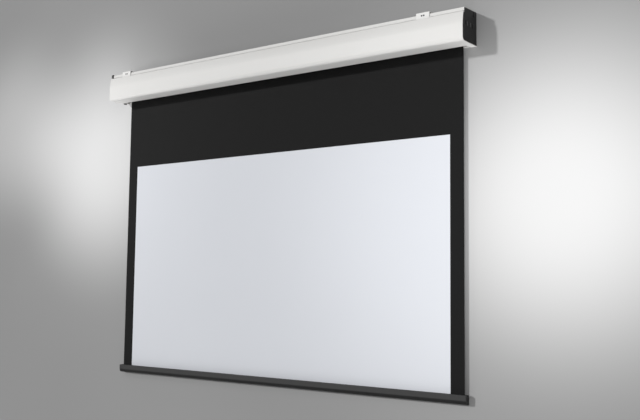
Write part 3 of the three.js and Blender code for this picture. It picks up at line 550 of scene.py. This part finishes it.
# %% Wind the cloth onto the roller
roll_low, roll_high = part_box("fabric_roll")
AXIS_Y = (roll_low.y + roll_high.y) / 2
CONTACT = CLOTH_Y - AXIS_Y
TURNS = 2
TURN_PITCH = 0.55 * MM
ROLL_THICKNESS = 0.45 * MM
STEPS = 96
mesh = bmesh.new()
ends = [mesh.verts.new((x, AXIS_Y + CONTACT, ROLLER_Z)) for x in (-CLOTH_HALF, CLOTH_HALF)]
edge = mesh.edges.new(ends)
axis_point = (0, AXIS_Y, ROLLER_Z)
whole_angle = 2 * math.pi * TURNS
bmesh.ops.spin(
    mesh, geom=[*ends, edge], cent=axis_point, axis=(1, 0, 0), angle=whole_angle, steps=STEPS
)
mesh.verts.index_update()
for vert in mesh.verts:
    # Each step of the spin adds two vertices, one at each end of the roll.
    along = (vert.index // 2) / STEPS
    inwards = 1 - along * TURNS * TURN_PITCH / CONTACT
    spoke = Vector((0, vert.co.y - AXIS_Y, vert.co.z - ROLLER_Z)) * inwards
    vert.co.y = AXIS_Y + spoke.y
    vert.co.z = ROLLER_Z + spoke.z
bmesh.ops.solidify(mesh, geom=mesh.faces[:], thickness=-ROLL_THICKNESS)
roll = place_piece("wound_cloth", mesh, "black_cloth", "roller", ["fabric_roll"])
print("wound cloth:", len(roll.data.polygons), "faces")

# %% [markdown]
# ## Screws with sockets
# The caps and the brackets are held by screws with a hexagon socket. A socket is a ring between
# a round edge and a six-sided one, so the head starts as a circle and a hexagon with as many
# points, and bridge_loops joins them. Extruding the hexagon downwards then makes the hole.

# %% A socket screw along +Z, with the underside of its head at zero
SCREW_SIDES = 24


def pull(mesh, edges, rise=0.0):
    """Extrudes a loop of edges, lifts what is new, and gives its vertices and its edges."""
    parts = bmesh.ops.extrude_edge_only(mesh, edges=edges)["geom"]
    verts = [part for part in parts if isinstance(part, bmesh.types.BMVert)]
    bmesh.ops.translate(mesh, verts=verts, vec=(0, 0, rise))
    return verts, [part for part in parts if isinstance(part, bmesh.types.BMEdge)]


def socket_screw(head, height, shank, length, key, depth, round_edge):
    """Head and shank are radii, and key is the hexagon's width across its flats."""
    mesh = bmesh.new()
    rim = bmesh.ops.create_circle(mesh, cap_ends=False, radius=head, segments=SCREW_SIDES)["verts"]
    bmesh.ops.translate(mesh, verts=rim, vec=(0, 0, height))
    corner = key / math.sqrt(3)
    hexagon = bmesh.ops.create_circle(mesh, cap_ends=False, radius=corner, segments=6)["verts"]
    bmesh.ops.translate(mesh, verts=hexagon, vec=(0, 0, height))
    hex_edges = [edge for edge in mesh.edges if edge.verts[0] in hexagon]
    bmesh.ops.subdivide_edges(mesh, edges=hex_edges, cuts=SCREW_SIDES // 6 - 1)
    rim_edges = [edge for edge in mesh.edges if edge.verts[0] in rim and edge.verts[1] in rim]
    inner_edges = [edge for edge in mesh.edges if edge not in rim_edges]
    bmesh.ops.bridge_loops(mesh, edges=rim_edges + inner_edges)
    hole_edges = pull(mesh, inner_edges, -depth)[1]
    bmesh.ops.contextual_create(mesh, geom=hole_edges)
    under_edges = pull(mesh, rim_edges, -height)[1]
    neck_verts, neck_edges = pull(mesh, under_edges)
    bmesh.ops.scale(mesh, verts=neck_verts, vec=(shank / head, shank / head, 1))
    tip_edges = pull(mesh, neck_edges, -length)[1]
    bmesh.ops.contextual_create(mesh, geom=tip_edges)
    bmesh.ops.bevel(
        mesh, geom=rim_edges, offset=round_edge, affect="EDGES", segments=3, profile=0.5, material=-1
    )
    return mesh


print("screw helpers: pull, socket_screw")

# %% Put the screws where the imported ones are, with sizes in millimetres
def fit_screw(node, toward, sizes):
    """Turns a screw so that its head looks along a direction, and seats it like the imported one."""
    low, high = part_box(node)
    sizes = {key: value * MM for key, value in sizes.items()}
    mesh = socket_screw(**sizes)
    outward = Vector(toward)
    middle = (low + high) / 2
    reach = [abs(value) for value in (high - low) * 0.5]
    top = middle + Vector([outward[i] * reach[i] for i in range(3)])
    turn = outward.to_track_quat("Z", "Y").to_matrix()
    bmesh.ops.rotate(mesh, verts=mesh.verts, matrix=turn)
    bmesh.ops.translate(mesh, verts=mesh.verts, vec=top - outward * sizes["height"])
    return place_piece(node + "_socket", mesh, slot_of[node], body_of_node(node), [node])


cap_screw = dict(head=3.2, height=1.6, shank=1.6, length=14, key=2.5, depth=1.1, round_edge=0.5)
clamp_screw = dict(head=6, height=3, shank=3, length=9.6, key=5, depth=2.0, round_edge=0.8)
set_screw = dict(head=3.2, height=1.2, shank=3.2, length=1.6, key=3.4, depth=1.4, round_edge=0.2)
fitted = []
for side, way in (("left", -1), ("right", 1)):
    for number in (1, 2, 3):
        fitted.append(fit_screw(f"cap_screw_{side}_{number}", (way, 0, 0), cap_screw))
    fitted.append(fit_screw(f"bracket_{side}_clamp_screw", (0, 0, 1), clamp_screw))
    for number in (1, 2):
        fitted.append(fit_screw(f"bracket_{side}_set_screw_{number}", (0, -1, 0), set_screw))
print("socket screws:", len(fitted))

# %% [markdown]
# ## The motor's lead
# A black lead runs from the motor head to the gland under the left end. It is clipped inside the
# case, so it isn't a free cord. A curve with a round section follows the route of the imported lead
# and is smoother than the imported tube.

# %% Draw the lead as a curve
LEAD_RADIUS = 3 * MM
LEAD_STRAIGHT = 20 * MM
lead_low, lead_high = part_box("motor_lead")
lead_data = bpy.data.curves.new("motor_lead_curve", "CURVE")
lead_data.dimensions = "3D"
lead_data.bevel_depth = LEAD_RADIUS
lead_data.bevel_resolution = 5
lead_data.resolution_u = 16
lead_data.use_fill_caps = True
spline = lead_data.splines.new("BEZIER")
spline.bezier_points.add(1)
lead_ends = [
    (lead_high.x - LEAD_RADIUS, lead_low.y + LEAD_RADIUS, lead_high.z),
    (lead_low.x + LEAD_RADIUS, lead_high.y - LEAD_RADIUS, lead_low.z),
]
straight = Vector((0, 0, LEAD_STRAIGHT))
for point, place in zip(spline.bezier_points, lead_ends):
    point.co = place
    point.handle_left = point.co + straight
    point.handle_right = point.co - straight
lead = bpy.data.objects.new("motor_lead_cable", lead_data)
bpy.context.scene.collection.objects.link(lead)
lead_data.materials.append(finishes["black_plastic"])
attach(lead, "case")
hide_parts("motor_lead")
print("lead drawn with", len(spline.bezier_points), "points")

# %% [markdown]
# ## The wall and the floor
# The screen hangs on a pale wall, so a wall and a floor stand in the scene as a stage, which isn't
# part of the object. Seen from behind, a real wall would hide the screen. So both planes are drawn
# only on their front side and only for what the camera sees directly or in a reflection, and they
# keep the shadows that fall on them. Lamps outside the picture light the real wall in three wide
# pools. The wall's paint is paler there, because more lamps would light the screen as well.

# %% Build the one-sided wall and floor
SEEN_RAYS = ("Is Camera Ray", "Is Glossy Ray", "Is Transmission Ray")
PLASTER_DEPTH = 0.1 * MM
WALL_GAP = 0.6 * MM
FLOOR_Z = -2.2
STAGE_HALF = 12


def stage_paint(name, dark, pale, pools=()):
    """Plaster that is paler inside each pool, which is a middle, a radius and a strength."""
    material, place = new_finish(name)
    plaster = noise(place, 160.0, detail=3.0)
    bump = {"Height": plaster, "Distance": PLASTER_DEPTH, "Strength": 1.0}
    normal = place.add("ShaderNodeBump", {}, bump)
    share = noise(place, 0.8, detail=2.0) * 0.06
    for middle, radius, strength in pools:
        ends = {0: place, 1: middle}
        apart = place.add("ShaderNodeVectorMath", {"operation": "DISTANCE"}, ends, out=1)
        fade = {"Value": apart, "From Min": radius, "From Max": 0.0, "To Min": 0.0, "To Max": strength}
        share = share + place.add("ShaderNodeMapRange", {"interpolation_type": "SMOOTHERSTEP"}, fade)
    tint = blend_colours(share, dark, pale)
    paint = place.add("ShaderNodeBsdfDiffuse", {}, {"Color": tint, "Normal": normal})
    behind = place.add("ShaderNodeNewGeometry", out="Backfacing")
    seen = sum(place.add("ShaderNodeLightPath", out=ray) for ray in SEEN_RAYS) * (1 - behind)
    nothing = place.add("ShaderNodeBsdfTransparent")
    surface = place.add("ShaderNodeMixShader", {}, {0: seen, 1: nothing, 2: paint})
    place.add("ShaderNodeOutputMaterial", {}, {"Surface": surface})
    return material


def stage_plane(name, matrix, material):
    """A large square on the stage, placed by a matrix."""
    mesh = bmesh.new()
    bmesh.ops.create_grid(mesh, x_segments=2, y_segments=2, size=STAGE_HALF)
    bmesh.ops.transform(mesh, verts=mesh.verts, matrix=matrix)
    data = bpy.data.meshes.new(name)
    mesh.to_mesh(data)
    mesh.free()
    data.materials.append(material)
    plane = bpy.data.objects.new(name, data)
    bpy.context.scene.collection.objects.link(plane)
    plane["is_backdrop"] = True
    return plane


wall_pools = [
    ((-1.15, 0, -0.34), 0.95, 0.66),
    ((-2.0, 0, -0.1), 0.75, 0.36),
    ((1.34, 0, -0.66), 0.95, 0.72),
]
wall_paint = stage_paint("wall_paint", shade(0.29), shade(0.80), wall_pools)
floor_paint = stage_paint("floor_paint", shade(0.70), shade(0.74))
wall_turn = Matrix.Translation((0, WALL_GAP, 0)) @ Matrix.Rotation(math.pi / 2, 4, "X")
wall = stage_plane("wall", wall_turn, wall_paint)
stage_plane("floor", Matrix.Translation((0, 0, FLOOR_Z)), floor_paint)
print("wall faces", [round(v, 2) for v in wall.data.polygons[0].normal])

# %% [markdown]
# ## Light
# The sun stands on the left and a little above, so the case throws a soft shadow on the wall to its
# right. A wide spot lights the wall on the right, and a small lamp lights the case's left end. The
# world is dim all round and bright only from below, like a pale floor, which lights the underside
# of the case. Together they light the cloth at a plain level, so that a colour renders close to
# the way it is written.

# %% Set the lamps and the world
def hang_lamp(name, kind, settings, place, target):
    """A lamp at a place that looks at a target and isn't seen itself."""
    data = bpy.data.lights.new(name, kind)
    for key, value in settings.items():
        setattr(data, key, value)
    lamp = bpy.data.objects.new(name, data)
    lamp.location = place
    lamp.visible_camera = False
    lamp.rotation_euler = (Vector(target) - Vector(place)).to_track_quat("-Z", "Y").to_euler()
    bpy.context.scene.collection.objects.link(lamp)
    return lamp


sun = {"energy": 1.9, "angle": math.radians(4)}
spot = {"energy": 115, "spot_size": math.radians(56), "spot_blend": 1.0, "shadow_soft_size": 0.25}
disk = {"energy": 3.4, "shape": "DISK", "size": 0.4}
lamps = [
    hang_lamp("key_lamp", "SUN", sun, (-2.1, -3.0, 1.08), (0, 0, 0)),
    hang_lamp("right_lamp", "SPOT", spot, (1.9, -2.4, -0.7), (1.25, 0, -0.66)),
    hang_lamp("left_lamp", "AREA", disk, (-1.5, -0.9, -0.35), (-1.0, 0, -0.1)),
]

GLOW_STRENGTH = 2.4
GLOW_FULL_BELOW = -0.9
GLOW_GONE_ABOVE = -0.7
world = bpy.data.worlds.new("pale_room")
world.use_nodes = True
direction = Wire(world.node_tree).add("ShaderNodeTexCoord", out="Generated")
above = ramp(part_of(direction, "Z"), GLOW_FULL_BELOW, GLOW_GONE_ABOVE)
room = blend_colours(above, shade(1.0), shade(0.135))
background = world.node_tree.nodes["Background"]
background.inputs["Strength"].default_value = GLOW_STRENGTH
world.node_tree.links.new(room.socket, background.inputs["Color"])
bpy.context.scene.world = world
bpy.context.scene.view_settings.view_transform = "Standard"
print("lamps:", [(lamp.name, lamp.data.energy) for lamp in lamps])

# %% [markdown]
# ## Compare the sizes and finish
# The finished model must fill the same box as the imported one. The last cell prints the largest
# difference between the two boxes, in millimetres.

# %% Compare the boxes
seen_low, seen_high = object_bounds()
pairs = zip([*cad_low, *cad_high], [*seen_low, *seen_high])
print("largest difference in mm:", max(abs(cad - seen) for cad, seen in pairs) / MM)
